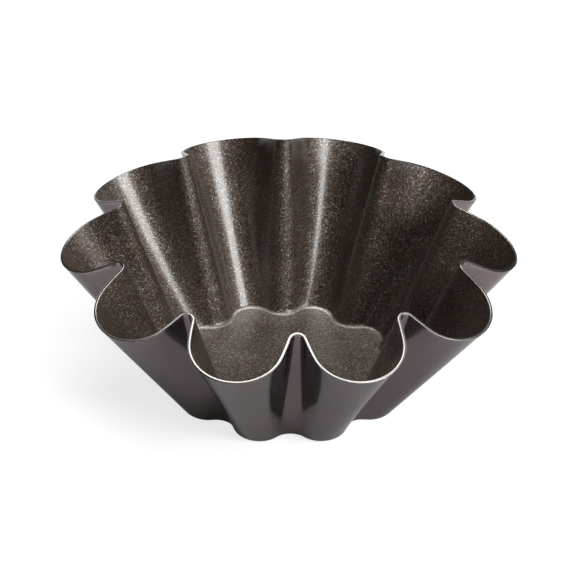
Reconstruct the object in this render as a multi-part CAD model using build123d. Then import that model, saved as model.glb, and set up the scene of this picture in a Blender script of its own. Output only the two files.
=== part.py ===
from build123d import *
import math
import os

# A small fluted brioche mould: one round blank of coated sheet steel, pressed into ten flutes.
# The sheet is a steel core with a non-stick coat inside and a smooth coat outside.
# Each layer is a solid of its own, and the core shows as a bare line where the rim was trimmed.
# Millimetres, +Z up. The origin is the middle of the flat base, on the surface it stands on.
# A flute crest lies at each end of the X axis, and a valley at each end of the Y axis.

# Plan and heights of the pressing, measured on its outside skin
flute_count = 10
rim_crest_radius = 40.0      # at the tip of a flute, where the rim ends
rim_crest_height = 25.2
rim_valley_radius = 31.0     # in the crease between two flutes, where the rim ends
rim_valley_height = 30.0     # the creases are the highest points of the mould
base_crest_radius = 21.4     # where the wall would meet the base if that bend were sharp
base_valley_radius = 18.6

# Bends of the outside skin
rim_crease_bend = 1.1        # at the height of the creases' tips
base_crease_bend = 3.0
base_edge_bend = 1.6         # between wall and base, all round
rim_flank_turn = 17.0        # degrees between a flute's side and the radius through its crease
base_flank_turn = 52.0

# The sheet's layers, from the outside in
outside_coat = 0.05
steel_core = 0.40
inside_coat = 0.06

# How far the pressing stands above its rim before the rim is trimmed
trim_overrun = 1.5

# The crest lines and crease lines of the wall are straight, so they give its lean
crest_lean = math.atan2(rim_crest_radius - base_crest_radius, rim_crest_height)
crease_lean = math.atan2(rim_valley_radius - base_valley_radius, rim_valley_height)
inset_share = 1 / math.cos((crest_lean + crease_lean) / 2)   # level inset for each unit of thickness

blank_height = max(rim_valley_height, rim_crest_height) + trim_overrun
half_pitch = math.pi / flute_count
section_count = 5            # level sections that the wall's surface is drawn through
bend_room_share = 0.995      # most of its room that a crest's bend may take


def at_level(base_value, rim_value, rim_height, level):
    """A value at the given level, where it changes evenly from the base to rim_height."""
    return base_value + (rim_value - base_value) * level / rim_height


def outline(crease_radius, crease_bend, flank_turn, crest_radius, inset, level):
    """One level section of the wall: a crease arc, a flank, a crest arc and a flank per flute.

    The crease arc is centred outside the wall and the crest arc inside it, both on their own
    radius, and the flanks touch both arcs. The flank's turn gives the crest arc its radius,
    which is limited by its room, where the two arcs would meet with no flank between them.
    An inset moves every arc and flank inwards by the same distance, about the same centres.
    """
    turn = math.radians(flank_turn)
    turned_normal = Vector(-math.sin(turn), math.cos(turn))
    crest_line = Vector(math.cos(half_pitch), math.sin(half_pitch))
    crease_centre = Vector(crease_radius + crease_bend, 0)
    flank_offset = crease_centre.dot(turned_normal) + crease_bend
    turned_bend = crest_radius - (crest_radius + flank_offset) / (1 + crest_line.dot(turned_normal))

    to_tip = crest_line * crest_radius - crease_centre
    room = (to_tip.dot(to_tip) - crease_bend**2) / (2 * (to_tip.dot(crest_line) + crease_bend))
    crest_bend = min(turned_bend, room * bend_room_share)
    crest_centre = crest_line * (crest_radius - crest_bend)

    between = crest_centre - crease_centre
    normal_turn = math.acos((crease_bend + crest_bend) / between.length)
    normal = between.normalized().rotate(Axis.Z, math.degrees(normal_turn))
    crease_end = crease_centre + normal * (crease_bend + inset)
    crest_start = crest_centre - normal * (crest_bend - inset)

    def placed(point, flute, mirrored=False):
        """The point on the given flute, or its mirror image across that flute's crease."""
        x, y = point.X, -point.Y if mirrored else point.Y
        return Vector(x, y, level).rotate(Axis.Z, math.degrees(2 * half_pitch * flute) - 90)

    edges = []
    for flute in range(flute_count):
        crease_tip = placed(Vector(crease_radius - inset, 0), flute)
        crest_tip = placed(crest_line * (crest_radius - inset), flute)
        points = [
            placed(crease_end, flute, mirrored=True),
            placed(crease_end, flute),
            placed(crest_start, flute),
            placed(crest_start, flute + 1, mirrored=True),
            placed(crease_end, flute + 1, mirrored=True),
        ]
        edges.append(ThreePointArc(points[0], crease_tip, points[1]))
        edges.append(Line(points[1], points[2]))
        edges.append(ThreePointArc(points[2], crest_tip, points[3]))
        edges.append(Line(points[3], points[4]))
    return Face(Wire(edges))


def wall_section(level, inset):
    """The level section of the surface that lies the given level inset inside the outside skin."""
    return outline(
        at_level(base_valley_radius, rim_valley_radius, rim_valley_height, level),
        at_level(base_crease_bend, rim_crease_bend, rim_valley_height, level),
        at_level(base_flank_turn, rim_flank_turn, rim_valley_height, level),
        at_level(base_crest_radius, rim_crest_radius, rim_crest_height, level),
        inset,
        level,
    )


def block(depth):
    """The solid inside the surface that lies at the given depth in the sheet, up to the blank's top."""
    step = (blank_height - depth) / (section_count - 1)
    levels = [depth + step * number for number in range(section_count)]
    solid = loft([wall_section(level, depth * inset_share) for level in levels])
    floor_edges = solid.faces().sort_by(Axis.Z)[0].edges()
    return fillet(floor_edges, base_edge_bend - depth)


def trimming_tool():
    """The rim is trimmed along a cone, which runs through the tips of the creases and crests.

    The tool fills the space under that cone, out to just past the crests.
    """
    drop = (rim_valley_height - rim_crest_height) / (rim_crest_radius - rim_valley_radius)
    reach = rim_crest_radius + trim_overrun
    profile = Polyline(
        (0, 0, 0),
        (reach, 0, 0),
        (reach, 0, rim_crest_height - trim_overrun * drop),
        (0, 0, rim_valley_height + rim_valley_radius * drop),
        close=True,
    )
    return revolve(make_face(profile), Axis.Z)


layers = {
    "outside_coat": (0, outside_coat),
    "steel_core": (outside_coat, outside_coat + steel_core),
    "inside_coat": (outside_coat + steel_core, outside_coat + steel_core + inside_coat),
}

os.makedirs("parts", exist_ok=True)
trim = trimming_tool()
for name, (outer_depth, inner_depth) in layers.items():
    layer = (block(outer_depth) - block(inner_depth)) & trim
    print(name, "solids", len(layer.solids()), "volume", round(layer.volume, 2))
    export_step(layer.solid(), f"parts/{name}.step")
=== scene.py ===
import math

import bpy
import numpy as np
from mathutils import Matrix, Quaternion, Vector


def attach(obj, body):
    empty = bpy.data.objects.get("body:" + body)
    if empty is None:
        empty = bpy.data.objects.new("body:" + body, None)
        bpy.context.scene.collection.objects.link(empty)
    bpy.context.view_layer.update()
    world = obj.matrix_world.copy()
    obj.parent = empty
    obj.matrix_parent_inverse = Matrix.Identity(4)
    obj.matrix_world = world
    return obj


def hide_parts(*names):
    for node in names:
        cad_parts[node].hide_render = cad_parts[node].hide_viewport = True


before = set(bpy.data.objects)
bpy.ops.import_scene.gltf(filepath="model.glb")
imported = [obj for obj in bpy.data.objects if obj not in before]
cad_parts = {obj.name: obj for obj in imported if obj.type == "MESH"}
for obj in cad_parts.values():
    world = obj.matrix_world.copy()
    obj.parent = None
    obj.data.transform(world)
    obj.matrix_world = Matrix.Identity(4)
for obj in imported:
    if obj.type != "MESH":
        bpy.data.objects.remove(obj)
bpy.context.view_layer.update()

# The mould's body is one round blank of cold-rolled sheet steel, 0.4 mm thick, which a punch draws
# and crimps into ten flutes in one stroke. Its rim is then trimmed along a cone, so the flutes' tips
# lie lower than the creases, and the cut stays bare between the two coats.
mm = 0.001
flute_count = 10
rim_crest_radius, rim_crest_height = 40.0, 25.2      # at the tip of a flute
rim_valley_radius, rim_valley_height = 31.0, 30.0    # in the crease between two flutes
base_crest_radius, base_valley_radius = 21.4, 18.6   # where the wall would meet the base
rim_crease_bend, base_crease_bend = 1.1, 3.0
rim_flank_turn, base_flank_turn = 17.0, 52.0         # degrees off the radius through the crease
base_edge_bend = 1.6
outside_coat, steel_core, inside_coat = 0.05, 0.40, 0.06

half_pitch = math.pi / flute_count
crest_lean = math.atan2(rim_crest_radius - base_crest_radius, rim_crest_height)
crease_lean = math.atan2(rim_valley_radius - base_valley_radius, rim_valley_height)
inset_share = 1 / math.cos((crest_lean + crease_lean) / 2)
rim_drop = (rim_valley_height - rim_crest_height) / (rim_crest_radius - rim_valley_radius)

# Columns of the grid stand at steps along half a flute: 0 to 1 round the crease, 1 to 2 along the
# flank and 2 to 3 round the crest. A negative step is the half on the crease's other side.
crease_columns, flank_columns, crest_columns = 8, 5, 14
half_steps = np.r_[
    np.linspace(0, 1, crease_columns + 1),
    np.linspace(1, 2, flank_columns + 1)[1:],
    np.linspace(2, 3, crest_columns + 1)[1:],
]
flute_steps = np.r_[-half_steps[:0:-1], half_steps[:-1]]
column_step = np.tile(flute_steps, flute_count)
column_flute = np.repeat(np.arange(flute_count), len(flute_steps))
base_rings, bend_rows, wall_rows = 8, 9, 40


def wall(level, inset):
    """Plan points of the wall, as complex numbers in millimetres, at a level for each column.

    A crease arc is centred outside the wall and a crest arc inside it, each on its own radius,
    and a straight flank touches both. Radii, bends and the flank's turn change evenly with the
    level. An inset moves arcs and flanks inwards by the same distance, about the same centres.
    """
    rise = level / rim_valley_height
    crease_radius = base_valley_radius + (rim_valley_radius - base_valley_radius) * rise
    crease_bend = base_crease_bend + (rim_crease_bend - base_crease_bend) * rise
    turn = np.radians(base_flank_turn + (rim_flank_turn - base_flank_turn) * rise)
    crest_radius = base_crest_radius + (rim_crest_radius - base_crest_radius) * level / rim_crest_height
    crease_centre = crease_radius + crease_bend
    room = crest_radius + crease_bend - crease_centre * np.sin(turn)
    crest_distance = room / (1 + np.sin(half_pitch - turn))
    crest_centre = crest_distance * np.exp(1j * half_pitch)
    crease_round, crest_round = crease_bend + inset, crest_radius - crest_distance - inset

    step = np.abs(column_step)
    crease_angle = np.pi - (np.pi / 2 - turn) * np.clip(step, 0, 1)
    crest_angle = turn - np.pi / 2 + (half_pitch + np.pi / 2 - turn) * np.clip(step - 2, 0, 1)
    flank_start = crease_centre + crease_round * np.exp(1j * (turn + np.pi / 2))
    flank_end = crest_centre + crest_round * np.exp(1j * (turn - np.pi / 2))
    point = np.select(
        [step <= 1, step <= 2],
        [crease_centre + crease_round * np.exp(1j * crease_angle),
         flank_start + (flank_end - flank_start) * (step - 1)],
        crest_centre + crest_round * np.exp(1j * crest_angle),
    )
    point = np.where(column_step < 0, np.conj(point), point)
    return point * np.exp(1j * (2 * half_pitch * column_flute - np.pi / 2))


def skin(depth, edge_drop):
    """Rows of plan points and levels, from the middle of the base up to the edge of the rim's cut.

    The surface lies at the given depth in the sheet. The base is flat. An arc, tangent to base and
    wall, is the bend between them: each of its points is the wall's point at the same level, moved
    in by the distance between the sharp corner and the arc. The rim's level is where the wall
    meets the trimming cone, found by stepping towards it. The wall stops an edge drop below it.
    """
    inset = depth * inset_share
    foot = wall(np.full(len(column_step), float(depth)), inset)
    along = np.roll(foot, -1) - np.roll(foot, 1)
    outward = -1j * along / np.abs(along)
    flare = ((wall(depth + np.ones(len(foot)), inset) - foot) * np.conj(outward)).real
    lean = np.arctan2(1, flare)

    bend = base_edge_bend - depth
    angle = -np.pi / 2 + lean * np.linspace(0, 1, bend_rows)[:, None]
    rise = bend * (1 + np.sin(angle))
    reach = bend * (np.cos(angle) - np.tan(lean / 2))
    bend_plan = wall(depth + rise, inset) - outward * (flare * rise - reach)

    top = np.full(len(foot), rim_valley_height)
    approach, approach_steps = 0.6, 14
    for _ in range(approach_steps):
        aim = rim_valley_height - rim_drop * (np.abs(wall(top, inset)) - rim_valley_radius)
        top = top + approach * (aim - top)
    bend_top = depth + rise[-1]
    up = np.linspace(0, 1, wall_rows + 1)[1:, None]
    level = bend_top + (top - edge_drop - bend_top) * up

    flat_plan = bend_plan[0] * np.linspace(0, 1, base_rings + 2)[1:-1, None]
    flat_level = np.full(flat_plan.shape, float(depth))
    plan = np.vstack([flat_plan, bend_plan, wall(level, inset)])
    return plan, np.vstack([flat_level, depth + rise, level]), wall(top, inset), top


def pressed_layer(name, outer_depth, inner_depth, edge_drop, crown, cut_rows):
    """A closed layer of the sheet: its outer skin, the cut across the rim, and its inner skin.

    Across the cut the level follows half an ellipse, whose ends lie an edge drop below the
    trimming cone and whose middle lies a crown above the ends. A point at each end closes the base.
    """
    plan, level, outer_rim, outer_top = skin(outer_depth, edge_drop)
    inner_plan, inner_level, inner_rim, inner_top = skin(inner_depth, edge_drop)
    angle = np.linspace(0, np.pi, cut_rows + 2)[1:-1, None]
    across, up = (1 - np.cos(angle)) / 2, crown * np.sin(angle) - edge_drop
    cut_plan = outer_rim + (inner_rim - outer_rim) * across
    cut_level = outer_top + (inner_top - outer_top) * across + up
    plan = np.vstack([plan, cut_plan, inner_plan[::-1]])
    level = np.vstack([level, cut_level, inner_level[::-1]])
    points = np.stack([plan.real, plan.imag, level], axis=-1).reshape(-1, 3)
    points = np.vstack([points, [[0, 0, outer_depth], [0, 0, inner_depth]]]) * mm

    rows, columns = plan.shape
    number = np.arange(rows * columns).reshape(rows, columns)
    beside = np.roll(number, -1, axis=1)
    quads = np.stack([number[:-1], beside[:-1], beside[1:], number[1:]], axis=-1).reshape(-1, 4)
    under, over = np.full(columns, rows * columns), np.full(columns, rows * columns + 1)
    first_fan = np.stack([under, beside[0], number[0]], axis=-1)
    last_fan = np.stack([number[-1], beside[-1], over], axis=-1)
    mesh = bpy.data.meshes.new(name)
    mesh.from_pydata(points, [], quads.tolist() + first_fan.tolist() + last_fan.tolist())
    mesh.polygons.foreach_set("use_smooth", np.ones(len(mesh.polygons), bool))
    sharp_turn = math.radians(50)
    mesh.set_sharp_from_angle(angle=sharp_turn)
    piece = bpy.data.objects.new(name, mesh)
    bpy.context.scene.collection.objects.link(piece)
    return piece


def linear(hex_colour):
    """An sRGB hex colour as linear red, green, blue and an alpha of 1."""
    parts = [int(hex_colour[i:i + 2], 16) / 255 for i in (1, 3, 5)]
    return [p / 12.92 if p <= 0.04045 else ((p + 0.055) / 1.055) ** 2.4 for p in parts] + [1]


def add_node(tree, kind, inputs, stops=(), **settings):
    """Adds a node, sets its properties, and gives each named or numbered input a value or a link.

    A colour ramp also takes its stops, each a place and an sRGB hex colour.
    """
    node = tree.nodes.new(kind)
    for name, value in settings.items():
        setattr(node, name, value)
    for number, (place, colour) in enumerate(stops):
        elements = node.color_ramp.elements
        stop = elements[number] if number < len(elements) else elements.new(place)
        stop.position, stop.color = place, linear(colour)
    for name, value in inputs.items():
        if isinstance(value, bpy.types.NodeSocket):
            tree.links.new(value, node.inputs[name])
        else:
            node.inputs[name].default_value = value
    return node


def new_material(name):
    """A material with an empty node tree, and its object coordinates."""
    material = bpy.data.materials.new(name)
    material.use_nodes = True
    material.node_tree.nodes.clear()
    place = add_node(material.node_tree, "ShaderNodeTexCoord", {}).outputs["Object"]
    return material, material.node_tree, place


# Sheared cold-rolled steel: warm grey and dull, with the shear's fine marks across the cut. The
# shear rolls the cut's edges over, so only its middle catches the light from above.
shear_mark, mark_depth = 0.12 * mm, 0.006 * mm
tint_patch = 9 * mm
steel, tree, place = new_material("sheared_cold_rolled_steel")
marks = add_node(tree, "ShaderNodeTexNoise", {"Vector": place, "Scale": 1 / shear_mark, "Detail": 2.0})
patches = add_node(tree, "ShaderNodeTexNoise", {"Vector": place, "Scale": 1 / tint_patch, "Detail": 3.0})
tone = add_node(tree, "ShaderNodeValToRGB", {"Fac": patches.outputs["Fac"]}, stops=[
    (0.35, "#a5a29d"), (0.65, "#bcbab5"),
])
relief = add_node(tree, "ShaderNodeBump", {
    "Height": marks.outputs["Fac"], "Strength": 0.2, "Distance": mark_depth,
})
roughness = add_node(tree, "ShaderNodeMapRange", {
    "Value": marks.outputs["Fac"], "To Min": 0.24, "To Max": 0.42,
})
shader = add_node(tree, "ShaderNodeBsdfPrincipled", {
    "Base Color": tone.outputs["Color"], "Metallic": 1.0,
    "Roughness": roughness.outputs["Result"], "Normal": relief.outputs["Normal"],
})
add_node(tree, "ShaderNodeOutputMaterial", {"Surface": shader.outputs["BSDF"]})

edge_roll = 0.06    # how far the shear rolls the edges of the cut over
core_depth = outside_coat + steel_core
core = pressed_layer(
    "pressed_steel_shell", outside_coat, core_depth, edge_drop=edge_roll, crown=edge_roll, cut_rows=7,
)
core.data.materials.append(steel)
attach(core, "root")
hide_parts("steel_core")

# The outside has a smooth heat-resistant coat, a lacquer that is sprayed on the flat blank and baked
# before the press. It is 0.05 mm thick, and ends where the steel's cut edge begins to roll over.

# Lacquer with metal pigment too fine to see: a dark mauve-grey mirror. It gives back a seventh of the
# pale table, more near its outline, and is nearly black where two flutes meet and mirror each other.
peel, peel_depth = 3.2 * mm, 0.006 * mm         # the spray's faint orange peel
draw_wave, wave_depth = 14 * mm, 0.10 * mm      # slow waves that the drawing leaves in the wall
dust_spacing = 2.6 * mm
dust_size = 0.035       # as a share of the spacing
lacquer, tree, place = new_material("baked_mauve_metallic_lacquer")
slow = add_node(tree, "ShaderNodeTexNoise", {"Vector": place, "Scale": 1 / draw_wave, "Detail": 1.0})
tone = add_node(tree, "ShaderNodeValToRGB", {"Fac": slow.outputs["Fac"]}, stops=[
    (0.38, "#706865"), (0.5, "#6e6565"), (0.62, "#6b6266"),
])
dust = add_node(tree, "ShaderNodeTexVoronoi", {"Vector": place, "Scale": 1 / dust_spacing})
is_dust = add_node(tree, "ShaderNodeMath", {
    0: dust.outputs["Distance"], 1: dust_size,
}, operation="LESS_THAN")
dusted = add_node(tree, "ShaderNodeMix", {
    0: is_dust.outputs["Value"], 6: tone.outputs["Color"], 7: linear("#b0a8a4"),
}, data_type="RGBA")
fine = add_node(tree, "ShaderNodeTexNoise", {"Vector": place, "Scale": 1 / peel, "Detail": 2.0})
wave = add_node(tree, "ShaderNodeBump", {
    "Height": slow.outputs["Fac"], "Strength": 1.0, "Distance": wave_depth,
})
relief = add_node(tree, "ShaderNodeBump", {
    "Height": fine.outputs["Fac"], "Strength": 1.0, "Distance": peel_depth,
    "Normal": wave.outputs["Normal"],
})
roughness = add_node(tree, "ShaderNodeMapRange", {
    "Value": fine.outputs["Fac"], "To Min": 0.12, "To Max": 0.20,
})
shader = add_node(tree, "ShaderNodeBsdfPrincipled", {
    "Base Color": dusted.outputs[2], "Metallic": 1.0, "Roughness": roughness.outputs["Result"],
    "Specular Tint": linear("#dcdcdc"), "Normal": relief.outputs["Normal"],
})
add_node(tree, "ShaderNodeOutputMaterial", {"Surface": shader.outputs["BSDF"]})

coat_crown = 0.01   # how far the middle of a coat's own edge stands up
finish = pressed_layer(
    "satin_outer_finish", 0, outside_coat, edge_drop=edge_roll, crown=coat_crown, cut_rows=1,
)
finish.data.materials.append(lacquer)
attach(finish, "root")
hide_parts("outside_coat")

# The inside has a non-stick coat, 0.06 mm of dark brown binder filled with fine pale metal flakes. It
# is sprayed on the flat blank and baked before the press, and ends where the steel's edge rolls over.

# Flaked non-stick: speckled bronze. Each flake lies at its own small tilt, so the coat glitters widely
# beside every highlight, and the clear film over the flakes gives a highlight its brighter middle.
grain = 0.18 * mm
mottle = 6 * mm
film_bump, film_depth = 1.6 * grain, 0.014 * mm
flake_tilt = 0.42       # how far a flake's normal may lean, as a share of its length
nonstick, tree, place = new_material("speckled_bronze_nonstick")
cells = add_node(tree, "ShaderNodeTexVoronoi", {"Vector": place, "Scale": 1 / grain})
cell = add_node(tree, "ShaderNodeSeparateColor", {"Color": cells.outputs["Color"]})
tone = add_node(tree, "ShaderNodeValToRGB", {"Fac": cell.outputs["Red"]}, stops=[
    (0.0, "#3e2a1b"), (0.55, "#584637"), (1.0, "#84878a"),
])
cloud = add_node(tree, "ShaderNodeTexNoise", {"Vector": place, "Scale": 1 / mottle, "Detail": 4.0})
shade = add_node(tree, "ShaderNodeValToRGB", {"Fac": cloud.outputs["Fac"]}, stops=[
    (0.35, "#d5d0cd"), (0.65, "#fbf9f6"),
])
clouded = add_node(tree, "ShaderNodeMix", {
    0: 1.0, 6: tone.outputs["Color"], 7: shade.outputs["Color"],
}, data_type="RGBA", blend_type="MULTIPLY")
# Painted highlight: the coat is paler in the bend round the base, more in some mottle patches than others.
painted_bend_highlight = add_node(tree, "ShaderNodeAttribute", {}, attribute_name="painted_bend_highlight")
uneven = add_node(tree, "ShaderNodeMapRange", {
    "Value": cloud.outputs["Fac"], "From Min": 0.40, "From Max": 0.62, "To Min": 0.15, "To Max": 1.0,
})
highlight_share = add_node(tree, "ShaderNodeMath", {
    0: painted_bend_highlight.outputs["Fac"], 1: uneven.outputs["Result"],
}, operation="MULTIPLY")
highlighted = add_node(tree, "ShaderNodeMix", {
    0: highlight_share.outputs["Value"], 6: clouded.outputs[2], 7: linear("#ddd5cb"),
}, data_type="RGBA")
metal = add_node(tree, "ShaderNodeMapRange", {
    "Value": cell.outputs["Red"], "To Min": 0.3, "To Max": 1.0,
})
bumps = add_node(tree, "ShaderNodeTexNoise", {"Vector": place, "Scale": 1 / film_bump, "Detail": 2.0})
film = add_node(tree, "ShaderNodeBump", {
    "Height": bumps.outputs["Fac"], "Strength": 1.0, "Distance": film_depth,
})
random_middle = (0.5, 0.5, 0.5)     # taken off, so that flakes lean to all sides alike
lie = add_node(tree, "ShaderNodeTexWhiteNoise", {"Vector": cells.outputs["Position"]})
tilt = add_node(tree, "ShaderNodeVectorMath", {
    0: lie.outputs["Color"], 1: random_middle,
}, operation="SUBTRACT")
tilted = add_node(tree, "ShaderNodeVectorMath", {
    0: tilt.outputs["Vector"], 1: (flake_tilt, flake_tilt, flake_tilt), 2: film.outputs["Normal"],
}, operation="MULTIPLY_ADD")
flake_normal = add_node(tree, "ShaderNodeVectorMath", {0: tilted.outputs["Vector"]}, operation="NORMALIZE")
roughness = add_node(tree, "ShaderNodeMapRange", {
    "Value": cell.outputs["Blue"], "To Min": 0.50, "To Max": 0.58,
})
shader = add_node(tree, "ShaderNodeBsdfPrincipled", {
    "Base Color": highlighted.outputs[2], "Metallic": metal.outputs["Result"],
    "Roughness": roughness.outputs["Result"], "Normal": flake_normal.outputs["Vector"],
    "Coat Weight": 0.8, "Coat Roughness": 0.20, "Coat IOR": 1.5, "Coat Normal": film.outputs["Normal"],
})
add_node(tree, "ShaderNodeOutputMaterial", {"Surface": shader.outputs["BSDF"]})

lining_depth = core_depth + inside_coat
lining = pressed_layer(
    "nonstick_lining", core_depth, lining_depth, edge_drop=edge_roll, crown=coat_crown, cut_rows=1,
)
lining.data.materials.append(nonstick)

# A highlight is painted into the bend round the base as a paler colour. It rises from two rows inside that
# bend to its third row and is gone at the sixth. Round a flute it grows from the crease to the crest
# with the square of the step. The rows of the inner skin are the last in the mesh, and run from the
# rim down to the base's middle.
row_from_middle = np.arange(len(lining.data.vertices) // len(column_step))[::-1]
highlight_rows = base_rings + np.array([-2, 0, 3, 6])
highlight_amounts = [0, 0.2, 1, 0]
highlight_by_row = np.interp(row_from_middle, highlight_rows, highlight_amounts)
crease_highlight = 0.3    # as a share of the painted highlight at a crest
highlight_by_column = crease_highlight + (1 - crease_highlight) * (np.abs(column_step) / half_steps[-1]) ** 2
highlight_values = np.r_[np.outer(highlight_by_row, highlight_by_column).ravel(), 0, 0]
lining.data.attributes.new("painted_bend_highlight", "FLOAT", "POINT").data.foreach_set("value", highlight_values)
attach(lining, "root")
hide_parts("inside_coat")


# The studio is a white table in a white room, with a softbox to the front right like a window, and
# a wide one overhead. Black flags stand all round except at the window, so that the flutes' dark
# sides stay dark. They stand behind the camera, which doesn't see them.
def white_seen(tree, plain, seen):
    """A strength that is plain for scattered light, and seen for the camera and for mirror rays."""
    rays = add_node(tree, "ShaderNodeLightPath", {})
    direct = add_node(tree, "ShaderNodeMath", {
        0: rays.outputs["Is Camera Ray"], 1: rays.outputs["Is Glossy Ray"],
    }, operation="MAXIMUM")
    any_seen = add_node(tree, "ShaderNodeMath", {
        0: direct.outputs["Value"], 1: rays.outputs["Is Transmission Ray"],
    }, operation="MAXIMUM")
    strength = add_node(tree, "ShaderNodeMapRange", {
        "Value": any_seen.outputs["Value"], "To Min": plain, "To Max": seen,
    })
    return strength.outputs["Result"]


def flat_stage(name, corners, material):
    """A four-cornered sheet of the stage, which isn't part of the mould."""
    mesh = bpy.data.meshes.new(name)
    mesh.from_pydata(corners, [], [[0, 1, 2, 3]])
    mesh.materials.append(material)
    sheet = bpy.data.objects.new(name, mesh)
    bpy.context.scene.collection.objects.link(sheet)
    return sheet


def softbox(name, azimuth, elevation, distance, width, height, watts):
    """A rectangular lamp that faces the mould from a direction. Azimuth 0 is +Y, and 90 is +X."""
    data = bpy.data.lights.new(name, "AREA")
    data.shape, data.size, data.size_y, data.energy = "RECTANGLE", width, height, watts
    lamp = bpy.data.objects.new(name, data)
    a, e = math.radians(azimuth), math.radians(elevation)
    toward = Vector((math.sin(a) * math.cos(e), math.cos(a) * math.cos(e), math.sin(e)))
    lamp.location = toward * distance
    lamp.rotation_mode = "QUATERNION"
    lamp.rotation_quaternion = toward.to_track_quat("Z", "Y")
    lamp.visible_camera = False
    bpy.context.scene.collection.objects.link(lamp)


room_light = 0.15
world = bpy.data.worlds.new("white_room")
world.use_nodes = True
world.node_tree.nodes.clear()
room = add_node(world.node_tree, "ShaderNodeBackground", {
    "Color": linear("#ffffff"), "Strength": white_seen(world.node_tree, room_light, 1.0),
})
add_node(world.node_tree, "ShaderNodeOutputWorld", {"Surface": room.outputs["Background"]})
bpy.context.scene.world = world

# The table is lit paper with a glow, white where nothing shades it. The camera sees mostly the glow,
# as on a background that was cut out. The lacquer mirrors more of the paper, and there the glow fades
# under the flutes, so that the shade at the mould's foot shows in the outside.
seen_glow, mirrored_glow = 0.78, 0.62
shade_reach, shade_power = 40 * mm, 1.5
table, tree, _ = new_material("white_table_top")
mirrored = add_node(tree, "ShaderNodeLightPath", {}).outputs["Is Glossy Ray"]
paper_tone = add_node(tree, "ShaderNodeMix", {
    0: mirrored, 6: linear("#b0b0b0"), 7: linear("#e0e0e0"),
}, data_type="RGBA")
paper = add_node(tree, "ShaderNodeBsdfDiffuse", {"Color": paper_tone.outputs[2]})
open_sky = add_node(tree, "ShaderNodeAmbientOcclusion", {"Distance": shade_reach}, samples=4)
foot_shade = add_node(tree, "ShaderNodeMath", {
    0: open_sky.outputs["AO"], 1: shade_power,
}, operation="POWER")
shaded_glow = add_node(tree, "ShaderNodeMath", {
    0: foot_shade.outputs["Value"], 1: mirrored_glow,
}, operation="MULTIPLY")
glow_strength = add_node(tree, "ShaderNodeMix", {
    0: mirrored, 2: white_seen(tree, 0.0, seen_glow), 3: shaded_glow.outputs["Value"],
})
glow = add_node(tree, "ShaderNodeEmission", {
    "Color": linear("#ffffff"), "Strength": glow_strength.outputs[0],
})
both = add_node(tree, "ShaderNodeAddShader", {0: paper.outputs["BSDF"], 1: glow.outputs["Emission"]})
add_node(tree, "ShaderNodeOutputMaterial", {"Surface": both.outputs["Shader"]})
half = 6.0      # half the table's side, in metres
table_corners = [(-half, -half, 0), (half, -half, 0), (half, half, 0), (-half, half, 0)]
flat_stage("table_top", table_corners, table)

black, tree, _ = new_material("black_flag_cloth")
cloth = add_node(tree, "ShaderNodeBsdfDiffuse", {"Color": linear("#1c1a19")})
add_node(tree, "ShaderNodeOutputMaterial", {"Surface": cloth.outputs["BSDF"]})
flag_distance, flag_height, flag_half = 1.5, 3.2, math.radians(15.5)
flag_azimuths = (175, 205, 235, 265, 295, 325, 355, 25, 55, 85)     # all but the window's side
for number, azimuth in enumerate(flag_azimuths):
    a = math.radians(azimuth)
    left = Vector((math.sin(a - flag_half), math.cos(a - flag_half), 0)) * flag_distance
    right = Vector((math.sin(a + flag_half), math.cos(a + flag_half), 0)) * flag_distance
    up = Vector((0, 0, flag_height))
    flag = flat_stage(f"black_flag_{number + 1}", [left, right, right + up, left + up], black)
    flag.visible_camera = False

softbox("window_softbox", azimuth=134, elevation=37, distance=1.3, width=0.68, height=0.42, watts=14)
softbox("overhead_softbox", azimuth=0, elevation=78, distance=1.4, width=1.0, height=0.8, watts=11)

# The camera stands where the photo was taken from, a little to the left and 33 degrees above the table.
view_distance, view_elevation, view_azimuth, view_roll = 706.9 * mm, 0.5804, 0.0561, -0.03
camera_data = bpy.data.cameras.new("camera")
camera_data.sensor_width, camera_data.lens = 36.0, 251.8
camera = bpy.data.objects.new("camera", camera_data)
back = Vector((
    -math.cos(view_elevation) * math.sin(view_azimuth),
    -math.cos(view_elevation) * math.cos(view_azimuth),
    math.sin(view_elevation),
))
camera.location = Vector((0, 0, rim_valley_height * mm)) + back * view_distance
aim_right, aim_height = 0.28 * mm, 18.1 * mm
forward = Vector((aim_right, 0, aim_height)) - camera.location
camera.rotation_mode = "QUATERNION"
camera.rotation_quaternion = Quaternion(forward, view_roll) @ forward.to_track_quat("-Z", "Y")
bpy.context.scene.collection.objects.link(camera)
bpy.context.scene.camera = camera

bpy.context.scene.view_settings.view_transform = "Standard"
